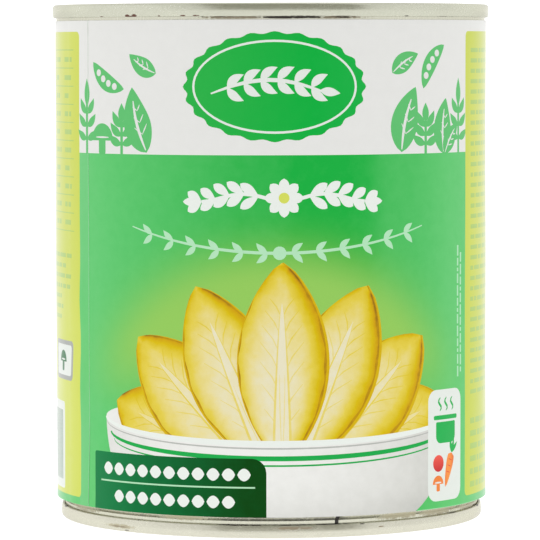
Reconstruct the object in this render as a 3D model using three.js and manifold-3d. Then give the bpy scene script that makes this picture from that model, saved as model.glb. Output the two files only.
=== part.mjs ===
// A sealed 850 ml food can with a paper label, in millimetres, +Z up.
//
// The can stands on its foot with the origin at the centre of its base. -Y is the front of the label.
// The body is a welded tinplate tube, beaded, flanged at the top and necked in at the foot.
// Two pressed ends are double-seamed on to it, each with a ring of sealing compound in its seam.
// The label is one paper wrap, glued where it laps over its own start.
// The can holds endive heads in brine.
// Angles around the can are in degrees from the front, positive to the right.
import * as THREE from "three";
import { mergeVertices } from "three/addons/utils/BufferGeometryUtils.js";
import Module from "manifold-3d";

const wasm = await Module();
wasm.setup();

// Driving dimensions of the tin.
const CAN_HEIGHT = 118;
const BODY_RADIUS = 49.5; // outside of the tube, above the neck
const NECK_RADIUS = 47.9; // outside of the tube at the foot, so that a can nests in the rim of the one below
const PLATE = 0.2; // thickness of the tinplate
const SIDES = 48; // facets around the can
const FACET_DEGREES = 360 / SIDES;
const FLAT = Math.cos(Math.PI / SIDES); // how much nearer the axis the middle of a facet is than its corners

// The double seam: five layers of plate, one seam pitch apart.
const SEAM_LENGTH = 3;
const SEAM_GAP = 0.1;
const SEAM_PITCH = PLATE + SEAM_GAP;
const HOOK_RISE = 1.15; // depth of the cover hook's edge below the seam's top
const HOOK_DROP = 2.3; // depth of the body hook's edge
const FLANGE_DEPTH = 0.6; // depth of the top of the body's flange, middle of the plate
const SEAM_SHOULDER = 0.4; // bend radius of the seam's two upper corners, middle of the plate
const BEND_STEP = 0.35; // longest straight piece that a bend is drawn with
const SEALING_RING = { width: 0.5, topDepth: 0.27, bottomDepth: 0.42 }; // between panel and flange

// The pressed ends: depths are below the top of the seam, middle of the plate.
const COUNTERSINK_DEPTH = 4.6;
const OUTER_BEAD_DEPTH = 2.9;
const PANEL_DEPTH = 3.7;
const INNER_BEAD_DEPTH = 3.1;
const OUTER_BEAD = [42, 45.2]; // inner and outer radius of the flat on top of the bead
const INNER_BEAD = [28, 33.5];
const BEAD_SLOPE = 1.5; // how far a bead's side runs outward
const CHUCK_WALL_LEAN = 0.35; // how far the chuck wall leans in by the bottom of the countersink
const COUNTERSINK_CHAMFER = 0.6; // at the foot of the chuck wall

// The body: shallow beads rolled into the tube, and the neck at its foot.
const BEADS = 5;
const BEAD_PITCH = 13;
const BEAD_WIDTH = 5;
const BEAD_DEPTH = 0.6;
const NECK_TOP = 5.5;
const NECK_BOTTOM = 3.8;
const WELD_WIDTH = 0.9;
const WELD_RELIEF = 0.05;
const WELD_DEGREES = 17.9;
const WELD_TOP = CAN_HEIGHT - SEAM_LENGTH - 0.3;

// The paper label.
const LABEL_BOTTOM = 4.8;
const LABEL_TOP = 114.3;
const PAPER = 0.12;
const LABEL_INNER_RADIUS = BODY_RADIUS + 0.12;
const LAP_DEGREES = 10;
const LAP_EDGE_DEGREES = -55; // where the outer layer ends, on the left of the front
const LAP_STEP = PAPER + 0.04; // how far the outer layer stands off at the lap

// What the can holds.
const BRINE_RADIUS = 48.3;
const BRINE_BOTTOM = 5.2;
const BRINE_LEVEL = 107;
const HEADS = 5;
const HEAD_LENGTH = 103;
const HEAD_RADIUS = 16.4;
const HEAD_RING_RADIUS = 29.6;
const HEAD_BOTTOM = 8;
const HEAD_SIDES = 15;
const HEAD_RINGS = 8;
const HEAD_LEAVES = 3; // leaf edges that show around a head
const LEAF_RELIEF = 0.09; // how far a leaf's edge stands out, as a share of the head's radius
const LEAF_WIND = 0.35; // turns that a leaf edge makes along the head
const HEAD_FULLEST = 0.38; // where along its length a head is widest
const HEAD_BLUNTNESS = 0.62; // 1 is a plain sine outline, and less is fuller towards both ends
const HEAD_END = 0.015; // the first and last ring stand this share of the length from the ends
const HEAD_CLEARANCE = 0.3;

function finish(color, roughness, metalness) {
  return new THREE.MeshStandardMaterial({ color, roughness, metalness });
}

const tinplate = finish(0xc9c7bb, 0.35, 1);
const sealant = finish(0x6f6a60, 0.8, 0);
const printedPaper = finish(0x3cb556, 0.45, 0);
const chicory = finish(0xe9dda6, 0.6, 0);
const liquor = finish(0xd9cf8e, 0.2, 0);

function meshOf(name, geometry, material) {
  const mesh = new THREE.Mesh(geometry, material);
  mesh.name = name;
  return mesh;
}

function solidOf(geometry) {
  const bare = geometry.clone();
  bare.deleteAttribute("normal");
  bare.deleteAttribute("uv");
  const merged = mergeVertices(bare, 1e-3);
  const vertProperties = merged.attributes.position.array;
  const triVerts = new Uint32Array(merged.index.array);
  return new wasm.Manifold(new wasm.Mesh({ numProp: 3, vertProperties, triVerts }));
}

function geometryOf(solid) {
  const { vertProperties, triVerts } = solid.getMesh();
  const geometry = new THREE.BufferGeometry();
  geometry.setAttribute("position", new THREE.BufferAttribute(new Float32Array(vertProperties), 3));
  geometry.setIndex(new THREE.BufferAttribute(new Uint32Array(triVerts), 1));
  geometry.computeVertexNormals();
  return geometry;
}

// The points of a path given by its corners, each [radius, height, bend radius].
function bent(corners) {
  const points = [];
  corners.forEach(([r, z, bend], i) => {
    const corner = new THREE.Vector2(r, z);
    if (!bend) {
      points.push(corner);
      return;
    }
    const towards = (other) => new THREE.Vector2(other[0], other[1]).sub(corner).setLength(bend).add(corner);
    const curve = new THREE.QuadraticBezierCurve(towards(corners[i - 1]), corner, towards(corners[i + 1]));
    points.push(...curve.getPoints(Math.ceil(bend / BEND_STEP)));
  });
  return points.filter((point, i) => i === 0 || point.distanceTo(points[i - 1]) > 1e-3);
}

// The closed outline of a sheet whose middle follows a path, mitred where the path turns.
function sheetOutline(path, thickness) {
  const side = (sign) =>
    path.map((point, i) => {
      const into = point.clone().sub(path[Math.max(i - 1, 0)]).normalize();
      const out = path[Math.min(i + 1, path.length - 1)].clone().sub(point).normalize();
      const along = into.clone().add(out).normalize();
      const across = new THREE.Vector2(-along.y, along.x);
      const reach = thickness / 2 / along.dot(i === 0 ? out : into);
      return point.clone().addScaledVector(across, sign * reach);
    });
  return [...side(1), ...side(-1).reverse()];
}

// A solid of revolution about Z. An outline that doesn't start on the axis is closed on itself.
function turned(outline) {
  const clockwise = THREE.ShapeUtils.area(outline) < 0;
  const points = clockwise ? [...outline].reverse() : [...outline];
  if (points[0].x > 0) points.push(points[0].clone());
  return new THREE.LatheGeometry(points, SIDES).rotateX(Math.PI / 2);
}

// The radii of a seam's layers, middle of the plate, on a wall of that outer radius.
function seamLayers(wallRadius) {
  const wall = wallRadius - PLATE / 2;
  return {
    chuck: wall - SEAM_PITCH,
    wall,
    coverHook: wall + SEAM_PITCH,
    bodyHook: wall + 2 * SEAM_PITCH,
    seamWall: wall + 3 * SEAM_PITCH,
  };
}

// A pressed end, drawn from the axis out: panel, beads, countersink, chuck wall, seaming panel, cover hook.
// Its heights are depths below the seam's top, and place() turns a depth into a height on the can.
function canEnd(wallRadius, place) {
  const { chuck, coverHook, seamWall } = seamLayers(wallRadius);
  const shift = chuck - seamLayers(BODY_RADIUS).chuck; // a smaller end has its outer bead further in
  const [beadIn, beadOut] = OUTER_BEAD.map((radius) => radius + shift);
  const hookBend = (seamWall - coverHook) / 2;
  const seamBottom = SEAM_LENGTH - PLATE / 2;
  const corners = [
    [0, PANEL_DEPTH],
    [INNER_BEAD[0] - BEAD_SLOPE, PANEL_DEPTH],
    [INNER_BEAD[0], INNER_BEAD_DEPTH],
    [INNER_BEAD[1], INNER_BEAD_DEPTH],
    [INNER_BEAD[1] + BEAD_SLOPE, PANEL_DEPTH],
    [beadIn - BEAD_SLOPE, PANEL_DEPTH],
    [beadIn, OUTER_BEAD_DEPTH],
    [beadOut, OUTER_BEAD_DEPTH],
    [beadOut + BEAD_SLOPE, COUNTERSINK_DEPTH],
    [chuck - CHUCK_WALL_LEAN - COUNTERSINK_CHAMFER, COUNTERSINK_DEPTH],
    [chuck - CHUCK_WALL_LEAN, COUNTERSINK_DEPTH - COUNTERSINK_CHAMFER],
    [chuck, PLATE / 2, SEAM_SHOULDER],
    [seamWall, PLATE / 2, SEAM_SHOULDER],
    [seamWall, seamBottom, hookBend],
    [coverHook, seamBottom, hookBend],
    [coverHook, HOOK_RISE],
  ];
  const path = bent(corners).map((point) => new THREE.Vector2(point.x, place(point.y)));
  const outline = sheetOutline(path, PLATE);
  outline[0].x = 0;
  outline[outline.length - 1].x = 0;
  return turned(outline);
}

// The tube, drawn from the top body hook down: flange, beaded wall, neck and bottom body hook.
function bodyPath() {
  const top = seamLayers(BODY_RADIUS);
  const foot = seamLayers(NECK_RADIUS);
  const flangeBend = SEAM_PITCH;
  const highestBead = CAN_HEIGHT / 2 + ((BEADS - 1) / 2) * BEAD_PITCH;
  const beads = Array.from({ length: BEADS }, (_, i) => highestBead - i * BEAD_PITCH).flatMap((z) => [
    [top.wall, z + BEAD_WIDTH / 2],
    [top.wall - BEAD_DEPTH, z],
    [top.wall, z - BEAD_WIDTH / 2],
  ]);
  return bent([
    [top.bodyHook, CAN_HEIGHT - HOOK_DROP],
    [top.bodyHook, CAN_HEIGHT - FLANGE_DEPTH, flangeBend],
    [top.wall, CAN_HEIGHT - FLANGE_DEPTH, flangeBend],
    ...beads,
    [top.wall, NECK_TOP],
    [foot.wall, NECK_BOTTOM],
    [foot.wall, FLANGE_DEPTH, flangeBend],
    [foot.bodyHook, FLANGE_DEPTH, flangeBend],
    [foot.bodyHook, HOOK_DROP],
  ]);
}

// The lap weld up the side of the tube: a low strip on one facet, following the wall's outside.
function weldStrip() {
  const betweenSeams = bodyPath().filter(({ y }) => y > SEAM_LENGTH && y < WELD_TOP);
  const middle = [new THREE.Vector2(BODY_RADIUS - PLATE / 2, WELD_TOP), ...betweenSeams];
  const run = middle.map(({ x, y }) => new THREE.Vector2((x + WELD_RELIEF) * FLAT, y));
  const shape = new THREE.Shape(sheetOutline(run, PLATE));
  const strip = new THREE.ExtrudeGeometry(shape, { depth: WELD_WIDTH, bevelEnabled: false });
  const facetMiddle = (Math.floor(WELD_DEGREES / FACET_DEGREES) + 0.5) * FACET_DEGREES;
  const along = BODY_RADIUS * Math.tan(THREE.MathUtils.degToRad(WELD_DEGREES - facetMiddle));
  strip.translate(0, 0, -WELD_WIDTH / 2 - along).rotateX(Math.PI / 2).rotateZ(-Math.PI / 2);
  return strip.rotateZ(THREE.MathUtils.degToRad(facetMiddle));
}

function canBody() {
  const tube = solidOf(turned(sheetOutline(bodyPath(), PLATE)));
  return geometryOf(tube.add(solidOf(weldStrip())));
}

// The ring of compound between a seam's panel and the flange of the body.
function sealingRing(wallRadius, place) {
  const { width, topDepth, bottomDepth } = SEALING_RING;
  const inner = seamLayers(wallRadius).coverHook - width / 2;
  const outer = inner + width;
  const corners = [[inner, topDepth], [outer, topDepth], [outer, bottomDepth], [inner, bottomDepth]];
  return turned(corners.map(([radius, depth]) => new THREE.Vector2(radius, place(depth))));
}

// One wrap of paper: it starts under the lap, goes right round and steps up over its own start.
function paperLabel() {
  const start = LAP_EDGE_DEGREES - LAP_DEGREES;
  const overStart = start + 360;
  const end = LAP_EDGE_DEGREES + 360;
  const firstCorner = Math.ceil(start / FACET_DEGREES);
  const corners = Array.from({ length: SIDES + 2 }, (_, i) => (firstCorner + i) * FACET_DEGREES);
  const turns = [start, ...corners.filter((degrees) => degrees < end), overStart, end].sort((a, b) => a - b);
  // A point between two corners of the tube lies on the flat between them.
  const onFacet = (degrees) => {
    const offset = THREE.MathUtils.euclideanModulo(degrees, FACET_DEGREES) - FACET_DEGREES / 2;
    return FLAT / Math.cos(THREE.MathUtils.degToRad(offset));
  };
  const edge = (standOff) =>
    turns.map((degrees) => {
      const step = degrees < overStart ? 0 : LAP_STEP;
      const radius = (LABEL_INNER_RADIUS + standOff + step) * onFacet(degrees);
      const angle = THREE.MathUtils.degToRad(degrees - 90);
      return new THREE.Vector2(radius * Math.cos(angle), radius * Math.sin(angle));
    });
  const shape = new THREE.Shape([...edge(PAPER), ...edge(0).reverse()]);
  const depth = LABEL_TOP - LABEL_BOTTOM;
  return new THREE.ExtrudeGeometry(shape, { depth, bevelEnabled: false }).translate(0, 0, LABEL_BOTTOM);
}

// An endive head: a blunt base, a full middle and a pointed tip, with leaf edges winding up it.
function endiveHead(index, clearance) {
  const skew = Math.log(0.5) / Math.log(HEAD_FULLEST);
  const swell = (t) => Math.pow(Math.sin(Math.PI * Math.pow(t, skew)), HEAD_BLUNTNESS);
  const positions = [];
  const ring = (i) => {
    const t = HEAD_END + ((1 - 2 * HEAD_END) * i) / (HEAD_RINGS - 1);
    for (let j = 0; j < HEAD_SIDES; j++) {
      const turn = (j / HEAD_SIDES) * HEAD_LEAVES + t * LEAF_WIND * HEAD_LEAVES;
      const relief = 1 - LEAF_RELIEF * (turn % 1);
      const radius = HEAD_RADIUS * swell(t) * relief + clearance;
      const angle = (j / HEAD_SIDES) * 2 * Math.PI;
      positions.push(radius * Math.cos(angle), radius * Math.sin(angle), t * HEAD_LENGTH);
    }
  };
  for (let i = 0; i < HEAD_RINGS; i++) ring(i);
  const base = positions.length / 3;
  positions.push(0, 0, -clearance, 0, 0, HEAD_LENGTH + clearance);
  const faces = [];
  for (let j = 0; j < HEAD_SIDES; j++) {
    const next = (j + 1) % HEAD_SIDES;
    for (let i = 0; i < HEAD_RINGS - 1; i++) {
      const [a, b] = [i * HEAD_SIDES + j, i * HEAD_SIDES + next];
      faces.push(a, b, b + HEAD_SIDES, a, b + HEAD_SIDES, a + HEAD_SIDES);
    }
    const last = (HEAD_RINGS - 1) * HEAD_SIDES;
    faces.push(base, next, j, base + 1, last + j, last + next);
  }
  const geometry = new THREE.BufferGeometry();
  geometry.setAttribute("position", new THREE.Float32BufferAttribute(positions, 3));
  geometry.setIndex(faces);
  // Heads are packed tip up and tip down in turn.
  if (index % 2) geometry.rotateX(Math.PI).translate(0, 0, HEAD_LENGTH);
  const angle = (index / HEADS) * 2 * Math.PI;
  geometry.translate(HEAD_RING_RADIUS * Math.cos(angle), HEAD_RING_RADIUS * Math.sin(angle), HEAD_BOTTOM);
  geometry.computeVertexNormals();
  return geometry;
}

// The brine fills the can round the heads, which stand a little out of it into the headspace.
function brine() {
  const depth = BRINE_LEVEL - BRINE_BOTTOM;
  const drum = new THREE.CylinderGeometry(BRINE_RADIUS, BRINE_RADIUS, depth, SIDES).rotateX(Math.PI / 2);
  let liquid = solidOf(drum.translate(0, 0, BRINE_BOTTOM + depth / 2));
  for (let i = 0; i < HEADS; i++) liquid = liquid.subtract(solidOf(endiveHead(i, HEAD_CLEARANCE)));
  return geometryOf(liquid);
}

const can = new THREE.Group();
const fromTop = (depth) => CAN_HEIGHT - depth;
const fromFoot = (depth) => depth;
can.add(meshOf("can_body", canBody(), tinplate));
can.add(meshOf("top_end", canEnd(BODY_RADIUS, fromTop), tinplate));
can.add(meshOf("bottom_end", canEnd(NECK_RADIUS, fromFoot), tinplate));
can.add(meshOf("top_sealing_ring", sealingRing(BODY_RADIUS, fromTop), sealant));
can.add(meshOf("bottom_sealing_ring", sealingRing(NECK_RADIUS, fromFoot), sealant));
can.add(meshOf("paper_label", paperLabel(), printedPaper));
can.add(meshOf("brine", brine(), liquor));
for (let i = 0; i < HEADS; i++) can.add(meshOf(`endive_head_${i + 1}`, endiveHead(i, 0), chicory));

export default can;
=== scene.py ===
"""The looks of a sealed 850 ml food can: tinplate, printed paper label, studio and camera.

The numbers below are millimetres, and meshes are made in metres. Angles around the can are in
degrees from the front, which is -Y, and positive to the right. On the label, s is the distance
along the paper from the front to the right, and z is the height above the table.
"""

import random
from math import atan2, ceil, cos, hypot, log, pi, radians, sin, tan
from math import degrees as in_degrees

import bmesh
import bpy
import numpy as np
from mathutils import Matrix, Vector
from mathutils.geometry import delaunay_2d_cdt
from mathutils.kdtree import KDTree


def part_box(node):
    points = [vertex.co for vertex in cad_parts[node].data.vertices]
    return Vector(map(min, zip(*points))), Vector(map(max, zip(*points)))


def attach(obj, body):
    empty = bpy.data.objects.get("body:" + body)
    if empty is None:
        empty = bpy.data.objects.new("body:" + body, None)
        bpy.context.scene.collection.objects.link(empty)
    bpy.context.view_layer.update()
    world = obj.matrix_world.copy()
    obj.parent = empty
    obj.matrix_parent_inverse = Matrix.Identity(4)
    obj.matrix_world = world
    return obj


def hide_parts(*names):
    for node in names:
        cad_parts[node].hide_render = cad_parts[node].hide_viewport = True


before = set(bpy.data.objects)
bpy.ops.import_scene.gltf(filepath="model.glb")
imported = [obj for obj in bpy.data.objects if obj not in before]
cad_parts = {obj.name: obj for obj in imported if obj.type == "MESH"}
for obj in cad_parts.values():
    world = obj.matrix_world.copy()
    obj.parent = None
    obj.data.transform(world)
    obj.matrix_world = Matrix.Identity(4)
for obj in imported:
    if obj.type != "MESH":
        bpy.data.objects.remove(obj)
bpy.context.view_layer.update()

MM = 0.001

# ---------------------------------------------------------------- sizes, as in the CAD model

seam_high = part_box("top_end")[1]
CAN_HEIGHT, SEAM_RADIUS = seam_high.z / MM, seam_high.x / MM
FOOT_SEAM_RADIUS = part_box("bottom_end")[1].x / MM
label_low, label_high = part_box("paper_label")
LABEL_BOTTOM, LABEL_TOP = label_low.z / MM, label_high.z / MM
LABEL_RADIUS = label_high.x / MM  # its outside, away from the lap

PLATE = 0.2  # the tinplate's thickness
SEAM_PITCH = 0.3  # from one layer of plate in a seam to the next
SEAM_LENGTH = 3.0
SEAM_END = CAN_HEIGHT - SEAM_LENGTH  # the lower edge of the top seam
BODY_RADIUS = SEAM_RADIUS - 3 * SEAM_PITCH
NECK_RADIUS = FOOT_SEAM_RADIUS - 3 * SEAM_PITCH
NECK_TOP, NECK_BOTTOM = 5.5, 3.8
HOOK_RISE, HOOK_DROP = 1.15, 2.3  # how deep in a seam the cover hook and the body hook end
SEAM_SHOULDER = 0.6  # bend radius of a seam's outer shoulder
SHOULDER_TAPER, HOOK_TAPER = 0.12, 0.17  # how far a seam's outside leans in towards its two edges
TOP_WAIST, FOOT_WAIST, WAIST_BEND = 1.6, 1.25, 4.5  # where it stands upright, and how gently it turns
FLANGE_DEPTH = 0.6  # how deep in a seam the body is folded over
BEADS, BEAD_PITCH, BEAD_WIDTH, BEAD_DEPTH = 5, 13.0, 5.0, 0.6
COUNTERSINK_DEPTH, OUTER_BEAD_DEPTH, PANEL_DEPTH, INNER_BEAD_DEPTH = 4.6, 2.9, 3.7, 3.1  # under the rim
OUTER_BEAD = (42.0, 45.2)  # the inner and outer radius of a bead's flat
INNER_BEAD = (28.0, 33.5)
BEAD_SLOPE = 1.5  # the width of the slope at each side of it
CHUCK_WALL_LEAN = 0.35  # how far inside its top the wall round the countersink ends
FOLD_GAP = 0.01  # a fold's bend radius is this much less than half the fold's width
WELD_DEGREES, WELD_WIDTH, WELD_RELIEF = 17.5, 0.9, 0.05
PAPER = 0.06  # the label's thickness
LAP_EDGE_DEGREES, LAP_DEGREES, LAP_STEP = -55.4, 10.0, 0.065


def placed(name, data):
    """A new object in the scene."""
    made = bpy.data.objects.new(name, data)
    bpy.context.scene.collection.objects.link(made)
    return made


# ---------------------------------------------------------------- materials

MIX_INPUTS, MIX_OUTPUT = (0, 6, 7), 2  # a Mix node's factor, its colours A and B, and its colour result


def linear(rgb):
    """A colour given as 0 to 255 sRGB, as the linear RGBA that a socket takes."""
    channels = [c / 255 for c in rgb]
    return [c / 12.92 if c <= 0.04045 else ((c + 0.055) / 1.055) ** 2.4 for c in channels] + [1.0]


class Nodes:
    """The nodes of a material or of the world. A method that adds one returns its output."""

    def __init__(self, tree, shader):
        self.tree = tree
        self.shader = tree.nodes[shader]

    def feed(self, node, values):
        """Fills a node's inputs. A value that is a socket is linked, and any other is set."""
        for key, value in values.items():
            if isinstance(value, bpy.types.NodeSocket):
                self.tree.links.new(value, node.inputs[key])
            else:
                node.inputs[key].default_value = value

    def shade(self, values):
        self.feed(self.shader, values)

    def add(self, kind, output, values=None, **settings):
        made = self.tree.nodes.new("ShaderNode" + kind)
        for name, value in settings.items():
            setattr(made, name, value)
        self.feed(made, values or {})
        return made.outputs[output]

    def maths(self, operation, *values):
        return self.add("Math", "Value", dict(enumerate(values)), operation=operation)

    def plus(self, a, b):
        return self.maths("ADD", a, b)

    def times(self, a, b):
        return self.maths("MULTIPLY", a, b)

    def vector(self, operation, *values, output="Vector"):
        return self.add("VectorMath", output, dict(enumerate(values)), operation=operation)

    def split(self, vector):
        """The X, Y and Z of a vector."""
        return self.add("SeparateXYZ", "X", {"Vector": vector}).node.outputs

    def noise(self, vector, scale, detail, roughness):
        values = {"Vector": vector, "Scale": scale, "Detail": detail, "Roughness": roughness}
        return self.add("TexNoise", "Fac", values)

    def remap(self, value, low, high, to_low=0.0, to_high=1.0):
        spans = {"From Min": low, "From Max": high, "To Min": to_low, "To Max": to_high}
        return self.add("MapRange", "Result", {"Value": value, **spans})

    def ramp(self, factor, stops):
        """A colour ramp through stops of (position, sRGB colour)."""
        colour = self.add("ValToRGB", "Color", {"Fac": factor})
        elements = colour.node.color_ramp.elements
        while len(elements) < len(stops):
            elements.new(0.5)
        for element, (position, rgb) in zip(elements, stops):
            element.position = position
            element.color = linear(rgb)
        return colour

    def mixed(self, factor, a, b, blend="MIX"):
        """Mixes two colours: a where factor is 0, b where it is 1."""
        values = dict(zip(MIX_INPUTS, (factor, a, b)))
        return self.add("Mix", MIX_OUTPUT, values, data_type="RGBA", blend_type=blend)

    def bump(self, height, distance, strength=1.0):
        values = {"Height": height, "Strength": strength, "Distance": distance * MM}
        return self.add("Bump", "Normal", values)


def new_material(name):
    material = bpy.data.materials.new(name)
    material.use_nodes = True
    return material, Nodes(material.node_tree, "Principled BSDF")


# The top end's tin is a little darker and the foot's lighter than the body's: painted shade and light.
TOP_TIN, BODY_TIN, FOOT_TIN = (210, 211, 194), (214, 213, 196), (215, 213, 197)
TIN_METAL, TIN_TINT = 0.85, (0.8, 0.79, 0.74, 1.0)
# Grime, stain and smudge mark real dirt, and painted shade in grooves, under the label and on the neck.
GRIME_AND_SHADE = (44, 34, 28)
RUST = (92, 50, 36)
SMUDGE_AND_SHADE = (150, 138, 116)
STAIN_AND_SHADE = (188, 181, 154)
ROLLED_ALONG_X, ROLLED_ALONG_Z = (90.0, 2600.0, 2600.0), (2600.0, 2600.0, 90.0)  # scales of its grain


def mark_on(nodes, place, radius, degrees, z, half_width, half_height):
    """1 in the middle of a mark on the outside of the can, falling to 0 at its edge."""
    a = radians(degrees)
    centre = [c * MM for c in (radius * sin(a), -radius * cos(a), z)]
    sizes = [c * MM for c in (half_width, half_width, half_height)]
    scaled = nodes.vector("DIVIDE", nodes.vector("SUBTRACT", place, centre), sizes)
    return nodes.remap(nodes.vector("LENGTH", scaled, output="Value"), 0.3, 1.0, 1.0, 0.0)


def dirt_and_shade_line(nodes, height, speckle, z, half_height, cover):
    """A thin dark line round the can at one height, painted shade broken up like dirt where its cover is less
    than 1.
    """
    off = nodes.maths("ABSOLUTE", nodes.maths("SUBTRACT", height, z * MM))
    line = nodes.remap(off, half_height * 0.3 * MM, half_height * MM, 1.0, 0.0)
    return nodes.times(line, nodes.remap(speckle, 0.66 - 0.32 * cover, 0.72 - 0.32 * cover))


def tinplate(name, light, grain, radius, lines, marks):
    """Tin-coated steel. grain is the scale of its rolling marks along X, Y and Z.

    A line is (z, half height, cover), a thin line of painted shade. A mark is (colour, degrees, z, half
    width, half height); marks are rust, dirt and painted shade. Both are only on the outside, at about this
    radius.
    """
    material, nodes = new_material(name)
    place = nodes.add("TexCoord", "Object")
    rolling = nodes.noise(nodes.vector("MULTIPLY", place, grain), 1.0, 4.0, 0.6)
    clouds = nodes.noise(place, 90.0, 3.0, 0.55)
    scuffs = nodes.noise(place, 1100.0, 3.0, 0.6)
    speckle = nodes.noise(place, 380.0, 4.0, 0.7)
    x, y, height = nodes.split(place)
    tone = nodes.plus(nodes.times(clouds, 0.35), nodes.times(rolling, 0.65))
    colour = nodes.ramp(tone, [(0.3, [c - 12 for c in light]), (0.65, light)])
    rough = nodes.plus(nodes.remap(rolling, 0.3, 0.7, 0.18, 0.25), nodes.remap(clouds, 0.3, 0.7, 0.0, 0.06))
    metal = TIN_METAL

    covers = [(GRIME_AND_SHADE, dirt_and_shade_line(nodes, height, speckle, *line)) for line in lines]
    scuffed = nodes.remap(scuffs, 0.25, 0.6)
    for ink, *where in marks:
        broken = nodes.times(mark_on(nodes, place, radius, *where), scuffed)
        covers.append((ink, nodes.remap(broken, 0.12, 0.45)))
    from_axis = nodes.vector("LENGTH", nodes.add("CombineXYZ", "Vector", {"X": x, "Y": y}), output="Value")
    outside = nodes.remap(from_axis, (radius - 1.0) * MM, (radius - 0.8) * MM)
    for ink, cover in covers:
        here = nodes.times(cover, outside)
        colour = nodes.mixed(here, colour, linear(ink))
        metal = nodes.times(metal, nodes.maths("SUBTRACT", 1.0, here))
        rough = nodes.plus(rough, nodes.times(here, 0.1))
    relief = nodes.plus(rolling, nodes.times(scuffs, 0.5))
    nodes.shade({"Base Color": colour, "Roughness": rough, "Metallic": metal, "Specular Tint": TIN_TINT})
    nodes.shade({"Normal": nodes.bump(relief, 0.004, 0.3)})
    return material


def mottled(name, light, dark, roughness, scale, relief):
    """A mottled material between two colours, with a slight relief."""
    material, nodes = new_material(name)
    mottle = nodes.noise(nodes.add("TexCoord", "Object"), scale, 4.0, 0.6)
    rough = nodes.remap(mottle, 0.3, 0.7, roughness - 0.06, roughness + 0.06)
    nodes.shade({"Base Color": nodes.ramp(mottle, [(0.35, dark), (0.65, light)]), "Roughness": rough})
    nodes.shade({"Normal": nodes.bump(mottle, relief)})
    return material


# ---------------------------------------------------------------- turned tinplate

ARC_STEP = radians(18)  # the most that a bend turns from one point of an outline to the next


def rounded(corners):
    """The points of a path given by corners of (radius, height, bend radius), with the bends as arcs."""
    points = []
    for i, (r, z, bend) in enumerate(corners):
        corner = Vector((r, z))
        if not bend:
            points.append(corner)
            continue
        before = (Vector(corners[i - 1][:2]) - corner).normalized()
        after = (Vector(corners[i + 1][:2]) - corner).normalized()
        half = before.angle(after) / 2
        centre = corner + (before + after).normalized() * bend / sin(half)
        start = corner + before * bend / tan(half) - centre
        end = corner + after * bend / tan(half) - centre
        turn = start.angle_signed(end)
        steps = max(4, ceil(abs(turn) / ARC_STEP))
        for k in range(steps + 1):
            a = turn * k / steps
            spun = start.x * cos(a) + start.y * sin(a), start.y * cos(a) - start.x * sin(a)
            points.append(centre + Vector(spun))
    return points


def plate_outline(path):
    """The closed outline of a piece of plate whose middle follows the path."""
    sides = {1: [], -1: []}
    for i, point in enumerate(path):
        into = (point - path[max(i - 1, 0)]).normalized()
        out = (path[min(i + 1, len(path) - 1)] - point).normalized()
        along = (into + out).normalized()
        across = Vector((-along.y, along.x))
        reach = PLATE / 2 / along.dot(out if i == 0 else into)
        for sign, side in sides.items():
            side.append(point + across * sign * reach)
    return sides[1] + sides[-1][::-1]


def turned(name, outline, angles, shift):
    """A solid of revolution through these angles. shift(angle, z) is how far a point moves out."""
    bm = bmesh.new()
    rings = []
    for degrees in angles:
        a = radians(degrees)
        ring = []
        for point in outline:
            r = point.x + (shift(degrees, point.y) if point.x > 1 else 0.0)
            ring.append(bm.verts.new((r * sin(a) * MM, -r * cos(a) * MM, point.y * MM)))
        rings.append(ring)
    for here, there in zip(rings, rings[1:] + rings[:1]):
        for i in range(len(outline)):
            j = (i + 1) % len(outline)
            if outline[i].x > 1e-6 or outline[j].x > 1e-6:
                bm.faces.new((here[i], there[i], there[j], here[j]))
    bmesh.ops.remove_doubles(bm, verts=bm.verts, dist=1e-7)
    bmesh.ops.recalc_face_normals(bm, faces=bm.faces)
    mesh = bpy.data.meshes.new(name)
    bm.to_mesh(mesh)
    bm.free()
    mesh.shade_smooth()
    return placed(name, mesh)


def seam_layers(wall_radius):
    """Radii of a seam's layers, middle of the plate, on a wall of that outer radius."""
    names = ("chuck", "wall", "cover_hook", "body_hook", "seam_wall")
    return {name: wall_radius - PLATE / 2 + (i - 1) * SEAM_PITCH for i, name in enumerate(names)}


def end_outline(wall_radius, waist, place):
    """A pressed end. place() turns a depth below the seam's top into a height on the can."""
    layers = seam_layers(wall_radius)
    chuck, hook, seam_wall = layers["chuck"], layers["cover_hook"], layers["seam_wall"]
    inset = chuck - seam_layers(BODY_RADIUS)["chuck"]
    bead_in, bead_out = OUTER_BEAD[0] + inset, OUTER_BEAD[1] + inset
    hook_bend = (seam_wall - HOOK_TAPER - hook) / 2 - FOLD_GAP
    bottom = SEAM_LENGTH - PLATE / 2
    corners = [  # (radius, depth, bend radius)
        (0, PANEL_DEPTH, 0),
        (INNER_BEAD[0] - BEAD_SLOPE, PANEL_DEPTH, 1.2),
        (INNER_BEAD[0], INNER_BEAD_DEPTH, 1.2),
        (INNER_BEAD[1], INNER_BEAD_DEPTH, 1.2),
        (INNER_BEAD[1] + BEAD_SLOPE, PANEL_DEPTH, 1.2),
        (bead_in - BEAD_SLOPE, PANEL_DEPTH, 0.8),
        (bead_in, OUTER_BEAD_DEPTH, 0.8),
        (bead_out, OUTER_BEAD_DEPTH, 0.8),
        (bead_out + BEAD_SLOPE, COUNTERSINK_DEPTH, 0.45),
        (chuck - CHUCK_WALL_LEAN, COUNTERSINK_DEPTH, 0.55),
        (chuck, 0.9, 1.5),
        (chuck, PLATE / 2, 0.4),
        (seam_wall - SHOULDER_TAPER, PLATE / 2, SEAM_SHOULDER),
        (seam_wall, waist, WAIST_BEND),
        (seam_wall - HOOK_TAPER, bottom, hook_bend),
        (hook, bottom, hook_bend),
        (hook, HOOK_RISE, 0),
    ]
    outline = plate_outline([Vector((p.x, place(p.y))) for p in rounded(corners)])
    outline[0].x = 0.0
    outline[-1].x = 0.0
    return outline


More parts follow.
